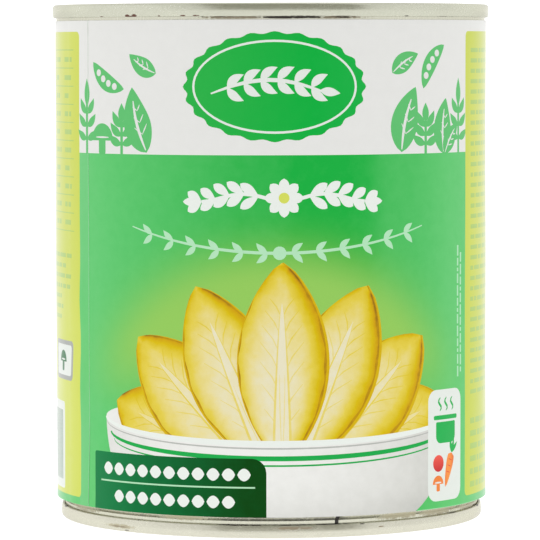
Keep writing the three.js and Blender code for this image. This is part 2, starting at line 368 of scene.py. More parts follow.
def body_outline():
    top, foot = seam_layers(BODY_RADIUS), seam_layers(NECK_RADIUS)
    bend = SEAM_PITCH / 2 - FOLD_GAP
    corners = [
        (top["body_hook"], CAN_HEIGHT - HOOK_DROP, 0),
        (top["body_hook"], CAN_HEIGHT - FLANGE_DEPTH, bend),
        (top["wall"], CAN_HEIGHT - FLANGE_DEPTH, bend),
    ]
    highest = CAN_HEIGHT / 2 + (BEADS - 1) / 2 * BEAD_PITCH
    for i in range(BEADS):
        z = highest - i * BEAD_PITCH
        corners += [
            (top["wall"], z + BEAD_WIDTH / 2, 2.0),
            (top["wall"] - BEAD_DEPTH, z, 3.0),
            (top["wall"], z - BEAD_WIDTH / 2, 2.0),
        ]
    corners += [
        (top["wall"], NECK_TOP, 1.0),
        (foot["wall"], NECK_BOTTOM, 0.6),
        (foot["wall"], FLANGE_DEPTH, bend),
        (foot["body_hook"], FLANGE_DEPTH, bend),
        (foot["body_hook"], HOOK_DROP, 0),
    ]
    return plate_outline(rounded(corners))


def roller_marks(degrees, z):
    """A seam is never quite even: it swells and thins by a few hundredths along its length."""
    a = radians(degrees)
    return 0.018 * (sin(5 * a + 0.6) * 0.4 + sin(11 * a + 2.1) * 0.35 + sin(23 * a + z) * 0.25)


def marks_from(base, rows):
    """Marks whose heights are given from a base height."""
    return [(ink, degrees, base + rise, *sizes) for ink, degrees, rise, *sizes in rows]


# Rust and grime on the seam; the wide grime from -11 to 18.5 degrees is painted shade in its groove.
SEAM_MARKS = [  # from the seam's lower edge
    (RUST, -39.2, 0.24, 0.9, 0.4),
    (RUST, -38.0, 0.12, 1.3, 0.2),
    (RUST, -36.9, 0.26, 1.0, 0.5),
    (RUST, -48.6, 0.08, 0.8, 0.14),
    (RUST, -29.3, 0.16, 0.5, 0.16),
    (RUST, -22.6, 0.22, 0.9, 0.18),
    (RUST, -19.0, 0.22, 1.0, 0.18),
    (GRIME_AND_SHADE, -11.0, -0.02, 5.5, 0.14),
    (GRIME_AND_SHADE, -1.0, -0.04, 6.0, 0.18),
    (GRIME_AND_SHADE, 8.0, -0.02, 8.0, 0.22),
    (GRIME_AND_SHADE, 18.5, 0.0, 5.0, 0.16),
    (GRIME_AND_SHADE, 36.9, 0.1, 1.0, 0.16),
    (GRIME_AND_SHADE, 50.5, 0.02, 2.4, 0.12),
]
# Painted shade in the gap between the top seam and the label, at the front.
STRIP_SHADE_MARKS = [  # from the same edge, on the strip of wall between the top seam and the label
    (SMUDGE_AND_SHADE, -10.0, -0.24, 9.0, 0.36),
    (GRIME_AND_SHADE, 4.0, -0.22, 8.0, 0.34),
    (SMUDGE_AND_SHADE, 17.0, -0.22, 9.0, 0.34),
    (GRIME_AND_SHADE, 10.0, -0.2, 4.5, 0.28),
    (GRIME_AND_SHADE, 19.0, -0.2, 3.0, 0.26),
]
# Painted shade on the neck just under the label's foot, at the front.
LABEL_FOOT_SHADE_MARKS = [(GRIME_AND_SHADE, -6.0, -0.1, 14.0, 0.16), (GRIME_AND_SHADE, 12.0, -0.1, 6.0, 0.14)]  # from the label's foot
# Painted shade on the neck, under the overhang of the label's foot, darker at the sides.
NECK_SHADE = [
    (STAIN_AND_SHADE, 36.0, 3.9, 8.0, 1.0),
    (STAIN_AND_SHADE, 52.0, 3.9, 10.0, 1.2),
    (STAIN_AND_SHADE, 70.0, 3.9, 9.0, 1.2),
    (STAIN_AND_SHADE, -62.0, 3.9, 9.0, 1.0),
    (STAIN_AND_SHADE, -24.0, 4.2, 8.0, 0.8),
]
# Dirt, stains and smudges on the foot; the wide grime in its groove at -8, 4 and 16 degrees is painted shade.
FOOT_MARKS = [  # these and the neck's shade marks from the table
    (GRIME_AND_SHADE, -8.0, 2.98, 7.5, 0.26),
    (GRIME_AND_SHADE, 4.0, 3.0, 7.5, 0.2),
    (GRIME_AND_SHADE, 16.0, 3.0, 6.0, 0.18),
    (GRIME_AND_SHADE, -77.0, 3.0, 1.8, 0.4),
    (GRIME_AND_SHADE, 77.5, 2.9, 1.8, 0.3),
    (STAIN_AND_SHADE, -44.0, 1.2, 6.0, 0.6),
    (SMUDGE_AND_SHADE, -44.5, 1.1, 3.4, 0.22),
    (GRIME_AND_SHADE, -41.7, 0.4, 1.0, 0.16),
    (SMUDGE_AND_SHADE, 5.5, 2.3, 6.0, 0.45),
    (GRIME_AND_SHADE, 24.4, 2.75, 0.9, 0.14),
    (SMUDGE_AND_SHADE, 30.0, 1.9, 0.9, 0.2),
    (GRIME_AND_SHADE, 58.0, 3.0, 3.0, 0.14),
]

# Thin dark lines of painted shade, broken up like dirt: under the top seam, atop the foot seam, under the
# label.
SEAM_LINES = [(SEAM_END + 0.05, 0.12, 0.2)]
FOOT_LINES = [(SEAM_LENGTH, 0.1, 0.15)]
BODY_LINES = [(SEAM_END - 0.02, 0.16, 0.2), (LABEL_BOTTOM - 0.08, 0.1, 0.05)]
seam_marks = marks_from(SEAM_END, SEAM_MARKS)
body_marks = marks_from(SEAM_END, STRIP_SHADE_MARKS) + marks_from(LABEL_BOTTOM, LABEL_FOOT_SHADE_MARKS) + NECK_SHADE
seam_tin = tinplate("tinplate_top_end", TOP_TIN, ROLLED_ALONG_X, SEAM_RADIUS, SEAM_LINES, seam_marks)
foot_tin = tinplate("tinplate_bottom_end", FOOT_TIN, ROLLED_ALONG_X, FOOT_SEAM_RADIUS, FOOT_LINES, FOOT_MARKS)
body_tin = tinplate("tinplate_body", BODY_TIN, ROLLED_ALONG_Z, NECK_RADIUS + 0.3, BODY_LINES, body_marks)
weld_tin = mottled("weld_oxide", (58, 52, 48), (26, 22, 20), 0.5, 1500.0, 0.02)

SEGMENTS = 240
even_angles = [360 * i / SEGMENTS for i in range(SEGMENTS)]
half_weld = in_degrees(WELD_WIDTH / 2 / BODY_RADIUS)
weld_lines = [WELD_DEGREES + side * half_weld * reach for side in (-1, 1) for reach in (1.0, 1.12)]
clear_of_weld = [a for a in even_angles if abs(a - WELD_DEGREES) > 1.4 * half_weld]
body_angles = sorted(clear_of_weld + weld_lines + [WELD_DEGREES])


def weld_relief(degrees, z):
    near = abs(degrees - WELD_DEGREES) < half_weld * 1.05
    return WELD_RELIEF if near and SEAM_LENGTH < z < SEAM_END else 0.0


top_outline = end_outline(BODY_RADIUS, TOP_WAIST, lambda depth: CAN_HEIGHT - depth)
top_end = turned("can_top_end", top_outline, even_angles, roller_marks)
bottom_outline = end_outline(NECK_RADIUS, FOOT_WAIST, lambda depth: depth)
bottom_end = turned("can_bottom_end", bottom_outline, even_angles, roller_marks)
body = turned("can_body_tube", body_outline(), body_angles, weld_relief)

for piece, material in ((body, body_tin), (body, weld_tin), (top_end, seam_tin), (bottom_end, foot_tin)):
    piece.data.materials.append(material)
for face in body.data.polygons:
    centre = face.center
    degrees = in_degrees(atan2(centre.x, -centre.y))
    face.material_index = int(abs(degrees - WELD_DEGREES) < half_weld and centre.z < CAN_HEIGHT / 2 * MM)

for piece, node in ((body, "can_body"), (top_end, "top_end"), (bottom_end, "bottom_end")):
    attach(piece, "root")
    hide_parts(node)

# ---------------------------------------------------------------- the label's artwork

WHITE_BAND_FROM = 84.6
FACING_MIDDLE = 0.9  # s of the middle of the front facing
HALF_FACING = 52.9
HALF_TURN = pi * LABEL_RADIUS
MIDDLES = [FACING_MIDDLE + turn * HALF_TURN for turn in range(3)]  # of both facings, and the first again
PANEL_BOTTOM, PANEL_TOP = 6.5, 111.8
START = radians(LAP_EDGE_DEGREES - LAP_DEGREES) * LABEL_RADIUS
END = radians(LAP_EDGE_DEGREES + 360) * LABEL_RADIUS
SHEET_EDGES = [(0, START, 1), (0, END, -1), (1, LABEL_BOTTOM, 1), (1, LABEL_TOP, -1)]
EDGE_HIGHLIGHT_AND_WEAR, WORN_FOOT = 0.12, (35.5, 64.0)  # the width of a pale line along an edge, and the stretch rubbed at the foot

# Each ink is a ramp of (tone, sRGB colour).
INKS = {
    "paper": [(0.0, (210, 210, 206)), (1.0, (234, 234, 231))],
    "field": [(0.0, (108, 199, 122)), (0.2, (96, 198, 112)), (1.0, (22, 174, 64))],
    "leaf": [(0.0, (10, 150, 60)), (0.8, (38, 182, 86)), (1.0, (150, 222, 164))],
    "plaque": [(0.0, (44, 176, 72)), (0.7, (8, 174, 62)), (1.0, (26, 176, 70))],
    "sprout": [(0.0, (112, 197, 126)), (1.0, (84, 186, 102))],
    "white_ink": [(0.0, (216, 222, 215)), (1.0, (231, 236, 230))],
    "pale": [(0.0, (150, 214, 162)), (1.0, (194, 232, 200))],
    "lime": [(0.0, (198, 209, 74)), (1.0, (210, 218, 94))],
    "print_green": [(0.0, (156, 192, 94)), (1.0, (178, 206, 106))],
    "banner": [(0.0, (0, 68, 8)), (1.0, (6, 124, 66))],
    "cream_leaf": [
        (0.0, (128, 90, 22)),
        (0.18, (204, 158, 10)),
        (0.4, (214, 186, 12)),
        (0.62, (224, 203, 76)),
        (0.82, (229, 215, 146)),
        (1.0, (229, 223, 194)),
    ],
    "china": [(0.0, (150, 154, 150)), (0.5, (204, 204, 198)), (1.0, (234, 234, 230))],
    "orange": [(0.0, (222, 92, 40)), (1.0, (246, 150, 70))],
    "red": [(0.0, (196, 44, 48)), (1.0, (240, 96, 80))],
}
GLOW = (146, 200, 92)  # the field's colour close round the picture
GLOW_HEIGHT, GLOW_OVAL = 24.0, (46.0, 40.0)  # its middle's height, and its half width and half height


class Shape:
    """A closed outline on the label, in an ink. Its tone is a number, or a function of s and z.

    The functions below that draw yield each shape as its points, its ink and, if it isn't 0.6, its tone.
    """

    def __init__(self, points, ink, tone=0.6):
        self.points = [(float(s), float(z)) for s, z in points]
        self.ink = ink
        self.tone = tone if callable(tone) else lambda s, z: np.full_like(s, tone)

    def moved(self, by):
        return Shape([(s + by, z) for s, z in self.points], self.ink, lambda s, z: self.tone(s - by, z))


def ellipse(cs, cz, rs, rz, count):
    turns = [2 * pi * i / count for i in range(count)]
    return [(cs + rs * cos(a), cz + rz * sin(a)) for a in turns]


CORNER_STEPS = 5


def box(s0, z0, s1, z1, *radii):
    """A box with one corner radius, or four: lower left, lower right, upper right, upper left."""
    if not radii:
        return [(s0, z0), (s1, z0), (s1, z1), (s0, z1)]
    centres = [(s0, z0, 1, 1), (s1, z0, -1, 1), (s1, z1, -1, -1), (s0, z1, 1, -1)]
    points = []
    for quarter, (s, z, in_s, in_z) in enumerate(centres):
        r = radii[quarter % len(radii)]
        for k in range(CORNER_STEPS + 1 if r else 1):
            a = pi * (1 + quarter / 2) + pi / 2 * k / CORNER_STEPS
            points.append((s + in_s * r + r * cos(a), z + in_z * r + r * sin(a)))
    return points


def midrib(base, tip, bend):
    """A function that gives the point at t, from 0 to 1, along a bent midrib, or so far aside of it."""
    (bs, bz), (ts, tz) = base, tip
    length = hypot(ts - bs, tz - bz)
    us, uz = (ts - bs) / length, (tz - bz) / length

    def at(t, aside=0.0):
        out = bend * sin(pi * t)
        slope = bend * pi * cos(pi * t) / length
        turn = hypot(1, slope)
        s = bs + us * length * t - uz * out + (-uz - us * slope) / turn * aside
        z = bz + uz * length * t + us * out + (us - uz * slope) / turn * aside
        return s, z

    return at


MARGIN_WAVES = 6


def leaf(base, tip, width, bend=0.0, fullest=0.45, blunt=1.0, count=14, wave=0.0):
    """A pointed leaf's outline. fullest is where it is widest, and wave is how far its margin waves."""
    at = midrib(base, tip, bend)
    skew = log(0.5) / log(fullest)
    sides = {1: [], -1: []}
    for k in range(count + 1):
        t = k / count
        half = width / 2 * (sin(pi * t**skew) ** blunt if 0 < t < 1 else 0.0)
        for sign, side in sides.items():
            side.append(at(t, half * (1 + wave * sin(2 * pi * MARGIN_WAVES * t + sign)) * sign))
    return sides[1] + sides[-1][-2:0:-1]


def stroke(points, width, taper=True):
    """A line drawn along points, thinning to its ends."""
    left, right = [], []
    last = len(points) - 1
    for i, (s, z) in enumerate(points):
        before, after = points[max(i - 1, 0)], points[min(i + 1, last)]
        ds, dz = after[0] - before[0], after[1] - before[1]
        length = hypot(ds, dz)
        half = width / 2 * (sin(pi * (0.12 + 0.76 * i / last)) if taper else 1.0)
        left.append((s - dz / length * half, z + ds / length * half))
        right.append((s + dz / length * half, z - ds / length * half))
    return left + right[::-1]


def polar(base, degrees, length):
    """The point at this length from base, at this angle from upright, positive to the right."""
    a = radians(degrees)
    return base[0] + length * sin(a), base[1] + length * cos(a)


FULLEST, BLUNT, BIG_LEAF_WIDTH = 0.5, 0.7, 19.0  # the shape of a big pale leaf
LEAF_SPREAD, LEAF_ROOT = 0.13, 9.0  # how far apart they stand for each degree of lean, and under the rim


def leaf_tone(base, degrees, length, width, low, high):
    """Tone inside a big leaf: pale along its middle, golden to its margins and its tip."""
    a = radians(degrees)

    def tone(s, z):
        off_s, off_z = s - base[0], z - base[1]
        along = np.clip((off_s * sin(a) + off_z * cos(a)) / length, 0.02, 0.98)
        across = (off_s * cos(a) - off_z * sin(a)) / (width / 2) / np.sin(pi * along) ** BLUNT
        margin = np.clip(np.abs(across + 0.12), 0, 1.1) ** 2.6
        ripple = 0.04 * np.sin(across * 7 + along * 5) * np.sin(along * 13)
        return np.clip(high - (high - low) * (0.8 * margin + 0.7 * along**4) + ripple, 0, 1)

    return tone


def cream_leaf(base, degrees, length, width, dull):
    """A big pale leaf: a shadow under it, a blade that turns golden to its margin, a rib and veins."""
    for grow, tone in ((1.6, 0.3), (0.7, 0.12)):
        low = (base[0] + 0.2 * grow, base[1] - 0.25 * grow)
        under = polar(low, degrees, length + 0.3 * grow)
        yield leaf(low, under, width + grow, 0, FULLEST, BLUNT, 22), "cream_leaf", tone
    blade = leaf(base, polar(base, degrees, length), width, 0, FULLEST, BLUNT, 30, 0.02)
    yield blade, "cream_leaf", leaf_tone(base, degrees, length, width, 0.3, 0.97 - dull)
    vein_tone = leaf_tone(base, degrees, length, width, 0.24, 0.8 - dull)
    for k in range(7):
        share = 0.12 + 0.1 * k
        joint = polar(base, degrees, length * share)
        swell = sin(pi * (share + 0.14)) ** BLUNT
        for side in (-1, 1):
            middle = polar(joint, degrees + side * 25, width * 0.28 * swell)
            out = polar(joint, degrees + side * 31, width * 0.5 * swell)
            yield stroke([joint, middle, out], 0.3), "cream_leaf", vein_tone
    rib_tip = polar(base, degrees, length * 0.8)
    for rib_width, tone in ((0.22, 0.72), (0.16, 1.0)):
        yield leaf(base, rib_tip, width * rib_width, 0, 0.12, 0.55, 16), "cream_leaf", tone - dull
    at = midrib(base, rib_tip, 0)
    for aside in (-0.03, 0.03):
        line = [at(t, aside * width * sin(pi * t)) for t in (0.05 + 0.5 * k / 6 for k in range(7))]
        yield stroke(line, 0.24), "cream_leaf", 0.82 - dull


BOWL_MIDDLE, BOWL_RIM, BOWL_HALF, BOWL_DEPTH, BOWL_OVAL, BOWL_FOOT = 1.5, 26.0, 44.0, 25.0, 4.8, 14.0


def bowl_rim(drop, half):
    """The front of the bowl's rim, seen a little from above, or of a line round it that far below."""
    arc = [pi * (1 + k / 32) for k in range(33)]
    return [(BOWL_MIDDLE + half * cos(a), BOWL_RIM - drop + BOWL_OVAL * sin(a)) for a in arc]


def bowl_tone(s, z):
    """The bowl's shading: lightest a little left of its middle, and darker to its foot."""
    lit = 1.0 - 0.6 * ((s - BOWL_MIDDLE + 9) / 54) ** 2
    return np.clip(lit - 0.5 * np.clip((15 - z) / 14, 0, 1) ** 2, 0, 1)


def bowl_of_leaves():
    """Big pale leaves, standing in a white bowl with a green line round it."""
    far_side = lambda s, z: np.clip(0.55 - (s - BOWL_MIDDLE) / 110, 0, 1)
    yield ellipse(BOWL_MIDDLE, BOWL_RIM, BOWL_HALF, BOWL_OVAL, 72), "china", far_side
    for lean, length, dull in ((68, 34, 0.16), (46, 39, 0.08), (23, 42, 0.03), (0, 44, 0.0)):
        for degrees in sorted({-lean, lean}):
            base = (BOWL_MIDDLE + degrees * LEAF_SPREAD, BOWL_RIM - LEAF_ROOT)
            yield from cream_leaf(base, degrees, length, BIG_LEAF_WIDTH, dull)
    right, left = [], []
    for u in np.linspace(0.0, pi / 2 - 0.001, 18)[1:]:
        half = BOWL_FOOT + (BOWL_HALF - BOWL_FOOT) * cos(u) ** 0.75
        z = BOWL_RIM - BOWL_DEPTH * sin(u)
        right.append((BOWL_MIDDLE + half, z))
        left.append((BOWL_MIDDLE - half, z))
    yield bowl_rim(0, BOWL_HALF) + right + left[::-1], "china", bowl_tone
    for drop, inset, width, ink, tone in (
        (0.1, 0.0, 1.3, "white_ink", 1.0),
        (1.2, 0.3, 0.35, "china", 0.25),
        (3.4, 1.6, 1.1, "leaf", 0.4),
        (5.0, 2.6, 0.4, "leaf", 0.4),
    ):
        yield stroke(bowl_rim(drop, BOWL_HALF - inset), width), ink, tone


def sprig(base, height, leaf_length):
    """A sprouting plant: a stem, three pairs of leaves and one at the top."""
    s, z = base
    yield stroke([(s, z + height * 0.75 * k / 4) for k in range(5)], 0.8, False), "sprout"
    for i in range(3):
        joint = (s, z + height * (0.2 + 0.5 * i / 3))
        for side in (-1, 1):
            tip = polar(joint, side * (62 - 12 * i), leaf_length)
            yield leaf(joint, tip, leaf_length * 0.42, side * -0.4), "sprout"
    yield leaf((s, z + height * 0.62), (s, z + height), leaf_length * 0.46), "sprout"


def broad_leaf(base, degrees, length):
    tip, bend = polar(base, degrees, length), length * 0.06
    yield leaf(base, tip, length * 0.5, bend, 0.42, 0.85, 18), "sprout"
    at = midrib(base, tip, bend)
    yield stroke([at(0.04 + 0.76 * k / 8) for k in range(9)], length * 0.05), "paper"
    for t in (0.28, 0.46, 0.64):
        joint = polar(base, degrees, length * t)
        for side in (-1, 1):
            out = polar(joint, degrees + side * 42, length * 0.2 * (1.15 - t))
            middle = ((joint[0] + out[0]) / 2, (joint[1] + out[1]) / 2)
            yield stroke([joint, middle, out], 0.32), "paper"


def pod(base, degrees, length):
    """A pea pod with its peas showing."""
    tip, bend, pea = polar(base, degrees, length), length * 0.12, length * 0.065
    yield leaf(base, tip, length * 0.34, bend, 0.5, 0.7, 16), "sprout"
    at = midrib(base, tip, bend)
    for k in range(4):
        yield ellipse(*at(0.24 + 0.17 * k), pea, pea, 14), "paper"


def mushroom(base, size, ink, line_ink):
    s, z = base
    stem_round = size * 0.08
    stem = box(s - size * 0.16, z, s + size * 0.16, z + size * 0.55, stem_round, stem_round, 0, 0)
    arc = np.linspace(0, pi, 19)
    cap = [(s + size * 0.5 * cos(a), z + size * (0.42 + 0.52 * sin(a))) for a in arc]
    line = [(s - size * 0.3 + size * 0.6 * k / 6, z + size * 0.52) for k in range(7)]
    yield stem, ink
    yield cap, ink
    yield stroke(line, 0.4), line_ink


def laurel(cs, cz, half):
    """A lying branch with leaves on both sides."""
    curve = [(cs - half + 2 * half * k / 14, cz - 1.5 + 3 * sin(pi * k / 14)) for k in range(15)]
    yield stroke(curve, 0.9), "white_ink"
    for k in range(2, 13, 2):
        for side in (-1, 1):
            tip = polar(curve[k], 52 if side > 0 else 128, half * 0.36)
            yield leaf(curve[k], tip, half * 0.15, side * 0.5), "white_ink"
    yield leaf(curve[13], (curve[14][0] + half * 0.22, curve[14][1]), half * 0.15), "white_ink"


def garland():
    """A hanging garland of small leaves."""
    cs, cz, half, drop, count = 1.0, 68.6, 35.0, 5.5, 26
    reach = [2 * k / count - 1 for k in range(count + 1)]
    curve = [(cs + half * t, cz - drop * (1 - t**2)) for t in reach]
    yield stroke(curve, 0.7), "pale"
    for k in range(2, count - 1, 2):
        lean = 1 if curve[k][0] > cs else -1
        for up in (1, -1):
            tip = polar(curve[k], lean * 90 - lean * up * 42, 3.3)
            yield leaf(curve[k], tip, 1.35, 0.2), "pale"
    yield ellipse(cs, cz - drop, 1.5, 1.5, 18), "pale"


def petal(base, tip, width, fullest, count=12):
    """A blunt white leaf."""
    return leaf(base, tip, width, 0, fullest, 0.7, count), "white_ink", 1.0


PLAQUE_HEIGHT = 99.6


def plaque():
    """An oval plaque with a scalloped edge, and a branch of laurel on it."""
    tone = lambda s, z: np.clip(0.5 + s / 40, 0, 1)
    scallops = []
    for i in range(144):
        a = 2 * pi * i / 144
        grow = 1 + 0.022 * cos(24 * a)
        scallops.append((20.3 * grow * cos(a), PLAQUE_HEIGHT + 11.9 * grow * sin(a)))
    yield scallops, "plaque", tone
    yield ellipse(0, PLAQUE_HEIGHT, 18.5, 10.3, 60), "white_ink"
    yield ellipse(0, PLAQUE_HEIGHT, 18.0, 9.8, 60), "plaque", tone
    yield from laurel(-1.2, PLAQUE_HEIGHT, 13.0)


def title_ornament():
    """A bold white flower between two ears of corn, where a title would be."""
    cs, cz = 2.0, 75.2
    for side in (-1, 1):
        stem = [(cs + side * (4.0 + k * 1.6), cz + 0.9 * sin(k * 0.5)) for k in range(10)]
        yield stroke(stem, 0.8, False), "white_ink", 1.0
        for k, joint in enumerate(stem[1::2]):
            for up in (-1, 1):
                yield petal(joint, polar(joint, side * (90 - up * 34), 4.9 - 0.25 * k), 2.1, 0.6)
        s, z = stem[-1]
        yield petal((s, z), (s + side * 4.4, z), 2.0, 0.5)
    for k in range(8):
        yield petal((cs, cz), polar((cs, cz), 45 * k, 4.3), 2.3, 0.65)
    yield ellipse(cs, cz, 1.2, 1.2, 20), "lime", 1.0


def small_plants():
    """Plants along the edge of the white band, and leaves and pods above them."""
    ground = WHITE_BAND_FROM - 0.2
    for side in (-1, 1):
        yield from broad_leaf((side * 30.0, ground + 0.6), side * 16, 15.0)
        yield from sprig((side * 37.2, ground), 11.5, 4.6)
        yield from pod((side * 36.5, 99.0), side * 48 - 12, 12.0)
        yield from broad_leaf((side * 27.5, 102.5), side * 60, 8.5)
        yield from sprig((side * 49.4, ground), 17.0, 4.4)
    yield from mushroom((-43.6, ground), 7.4, "sprout", "paper")
    yield from broad_leaf((43.4, ground), 4, 12.5)
    yield from broad_leaf((43.8, ground), 38, 8.5)


def banner():
    """A dark banner with two rows of white beads and a line between them."""
    tone = lambda s, z: np.clip((-6 - s) / 38, 0, 1)
    yield box(-46.8, LABEL_BOTTOM, -2.0, 17.8, 0, 0, 3.2, 0.6), "banner", tone
    yield box(-44.5, 11.2, -4.5, 11.55), "pale"
    for z, count in ((14.2, 11), (8.1, 9)):
        for i in range(count):
            s = (i - count / 2) * 3.5 - 24.2
            yield petal((s, z), (s + 3.0, z), 2.8, 0.5, 10)


def carrot(base, degrees, length):
    """A carrot, from its crown."""
    tip = polar(base, degrees, length)
    yield leaf(base, tip, length * 0.34, 0, 0.22, 0.6), "orange", lambda s, z: 0.5 + 0.5 * np.sin(s)
    for side in (-1, 0, 1):
        top = polar(base, degrees + 180 + side * 28, length * 0.42)
        yield leaf(base, top, length * 0.12), "leaf"
    for t in (0.2, 0.38, 0.56):
        at = polar(base, degrees, length * t)
        across = [polar(at, degrees + 90, length * 0.09 * k) for k in (-1, 0, 1)]
        yield stroke(across, 0.25), "red"


def white_tab():
    """A white tab with a pot over three small things to cook."""
    yield box(38.0, 6.4, 50.6, 31.5, 2.6), "white_ink"
    yield box(40.7, 19.4, 48.0, 24.2, 1.6, 1.6, 0.3, 0.3), "leaf"
    yield box(39.9, 24.7, 48.8, 25.7, 0.4), "leaf"
    for i in (-1, 0, 1):
        steam = [(44.35 + i * 2.3 + 0.5 * sin(k * 1.1), 26.7 + k * 0.5) for k in range(7)]
        yield stroke(steam, 0.6), "leaf"
    yield ellipse(41.6, 14.9, 1.9, 1.9, 24), "red", lambda s, z: np.clip((z - 13) / 4, 0, 1)
    yield from carrot((46.6, 17.0), 198, 8.0)
    yield from mushroom((41.5, 8.6), 3.8, "orange", "white_ink")


def fine_dashes():
    """Two columns of fine upright dashes."""
    for column, s in ((0, 49.0), (1, 50.3)):
        z = 34.0 + column
        while z < 62:
            length = 0.8 + 1.6 * sin(z * 3.1 + column) ** 2
            yield box(s, z, s + 0.6, z + length), "pale", 0.5
            z += length + 0.5


def front_facing():
    """The design that shows from the front, about s = 0."""
    lower = (bowl_of_leaves, plaque, title_ornament, garland)
    for part in (*lower, small_plants, banner, white_tab, fine_dashes):
        yield from part()


def word_bars(rng, s0, s1, z_top, height, ragged=0.25, rows=1, pitch=0.0):
    """Rows of plain bars, as long as words, where small print would be."""
    for row in range(rows):
        z = z_top - row * pitch
        s = s0
        end = s1 - (s1 - s0) * ragged * rng.random()
        while s < end - 1.0:
            length = min(rng.uniform(1.4, 5.2), end - s)
            yield box(s, z - height, s + length, z), "print_green"
            s += length + 0.7


def ruled_table(rng, left, right):
    """A table of ten rows: in each, bars where a name and two numbers would be."""
    top, row_height, rows = 107.6, 4.1, 10
    columns = [(left + 1, left + 18, 0.5), (right - 15, right - 9, 0.3), (right - 6, right - 1, 0.2)]
    for row in range(rows + 1):
        z = top - row * row_height
        yield box(left, z, right, z + 0.22), "print_green"
    for row in range(rows):
        z = top - row * row_height - 1.5
        for s0, s1, ragged in columns:
            yield from word_bars(rng, s0, s1, z, 1.1, ragged)


def side_panel(kind):
    """The panel between two facings, about s = 0: a table and two boxes, or only rows of bars."""
    rng = random.Random(7 + kind)
    half = HALF_TURN / 2 - HALF_FACING
    left, right = -half + 3, half - 3
    cloud = lambda s, z: np.clip(0.6 - 0.4 * kind + 0.3 * np.sin(s / 11) * np.sin(z / 17), 0, 1)
    yield box(-half, PANEL_BOTTOM, half, PANEL_TOP, 1.2), "lime", cloud
    if kind:
        yield from word_bars(rng, left, right, 108.0, 0.95, rows=34, pitch=2.35)
        yield from word_bars(rng, left, right, 24.0, 1.3, 0.5, rows=6, pitch=2.9)
        return
    yield from ruled_table(rng, left, right)
    yield from word_bars(rng, left, right, 61.5, 0.95, rows=7, pitch=2.35)
    # A white box with a grey edge and a mushroom, over a white box with plain bars.
    yield box(right - 15, 32.6, right - 1, 41.6, 1.2), "china", 0.1
    yield box(right - 14, 33.6, right - 2, 40.6, 0.8), "white_ink"
    yield from mushroom((right - 8, 34.6), 5.0, "banner", "white_ink")
    yield box(right - 34, 7.6, right - 7, 27.5, 0.8), "white_ink"
    for i in range(22):
        s = right - 32 + i * 1.08
        yield box(s, 9.6, s + 0.5, 25.5), "banner"


def clipped(points, axis, limit, side):
    """The part of an outline that is on one side of a line: side is 1 for above it, -1 for below."""
    kept = []
    for here, there in zip(points, points[1:] + points[:1]):
        here_in, there_in = ((p[axis] - limit) * side >= 0 for p in (here, there))
        if here_in:
            kept.append(here)
        if here_in != there_in:
            share = (limit - here[axis]) / (there[axis] - here[axis])
            crossing = [here[i] + share * (there[i] - here[i]) for i in (0, 1)]
            crossing[axis] = limit
            kept.append(tuple(crossing))
    return kept


def label_artwork():
    """Every shape on the sheet, the lowest first: two facings and the panels between them."""
    once = []
    for middle, kind in zip(MIDDLES, (1, 0)):
        once += [Shape(*row).moved(middle) for row in front_facing()]
        once += [Shape(*row).moved(middle + HALF_TURN / 2) for row in side_panel(kind)]
    for turn in (-1, 0, 1):
        for shape in once:
            there = shape.moved(turn * 2 * HALF_TURN)
            points = there.points
            for edge in SHEET_EDGES:
                points = clipped(points, *edge)
            if len(points) > 2:
                yield Shape(points, there.ink, there.tone)
    # Pale ink along the sheet's cut end is a painted highlight on its edge; along part of its foot the ink is
    # rubbed thin.
    yield Shape(box(END - EDGE_HIGHLIGHT_AND_WEAR, LABEL_BOTTOM, END, WHITE_BAND_FROM), "leaf", 0.95)
    yield Shape(box(WORN_FOOT[0], LABEL_BOTTOM, WORN_FOOT[1], LABEL_BOTTOM + EDGE_HIGHLIGHT_AND_WEAR), "leaf", 1.0)


# ---------------------------------------------------------------- the label's mesh

CURVE_STEP, RISE_STEP = 1.6, 4.0  # longest straight pieces along s and z, so that the paper stays smooth
GRID_S, GRID_Z = 1.5, 3.0
FINE_GRID = 1.25  # inside the picture, where tones change quickly
FINE_BOX = (-47.0, 5.5, 47.0, 59.0)
CLEARANCE = 0.4  # the grid's points stay this far from the outlines


def inside(points, s, z):
    """Which of the places s, z are inside the outline."""
    found = np.zeros(len(s), bool)
    for (s0, z0), (s1, z1) in zip(points, points[1:] + points[:1]):
        if z0 != z1:
            crosses = (z0 > z) != (z1 > z)
            found ^= crosses & (s < (s1 - s0) * (z - z0) / (z1 - z0) + s0)
    return found


def subdivided(points, closed):
    """The outline with its long edges split, so that each follows the paper round and up the can."""
    result = []
    ends = points[1:] + points[:1] if closed else points[1:]
    for (s0, z0), (s1, z1) in zip(points, ends):
        pieces = max(1, ceil(abs(s1 - s0) / CURVE_STEP), ceil(abs(z1 - z0) / RISE_STEP))
        for k in range(pieces):
            result.append((s0 + (s1 - s0) * k / pieces, z0 + (z1 - z0) * k / pieces))
    return result if closed else result + [points[-1]]


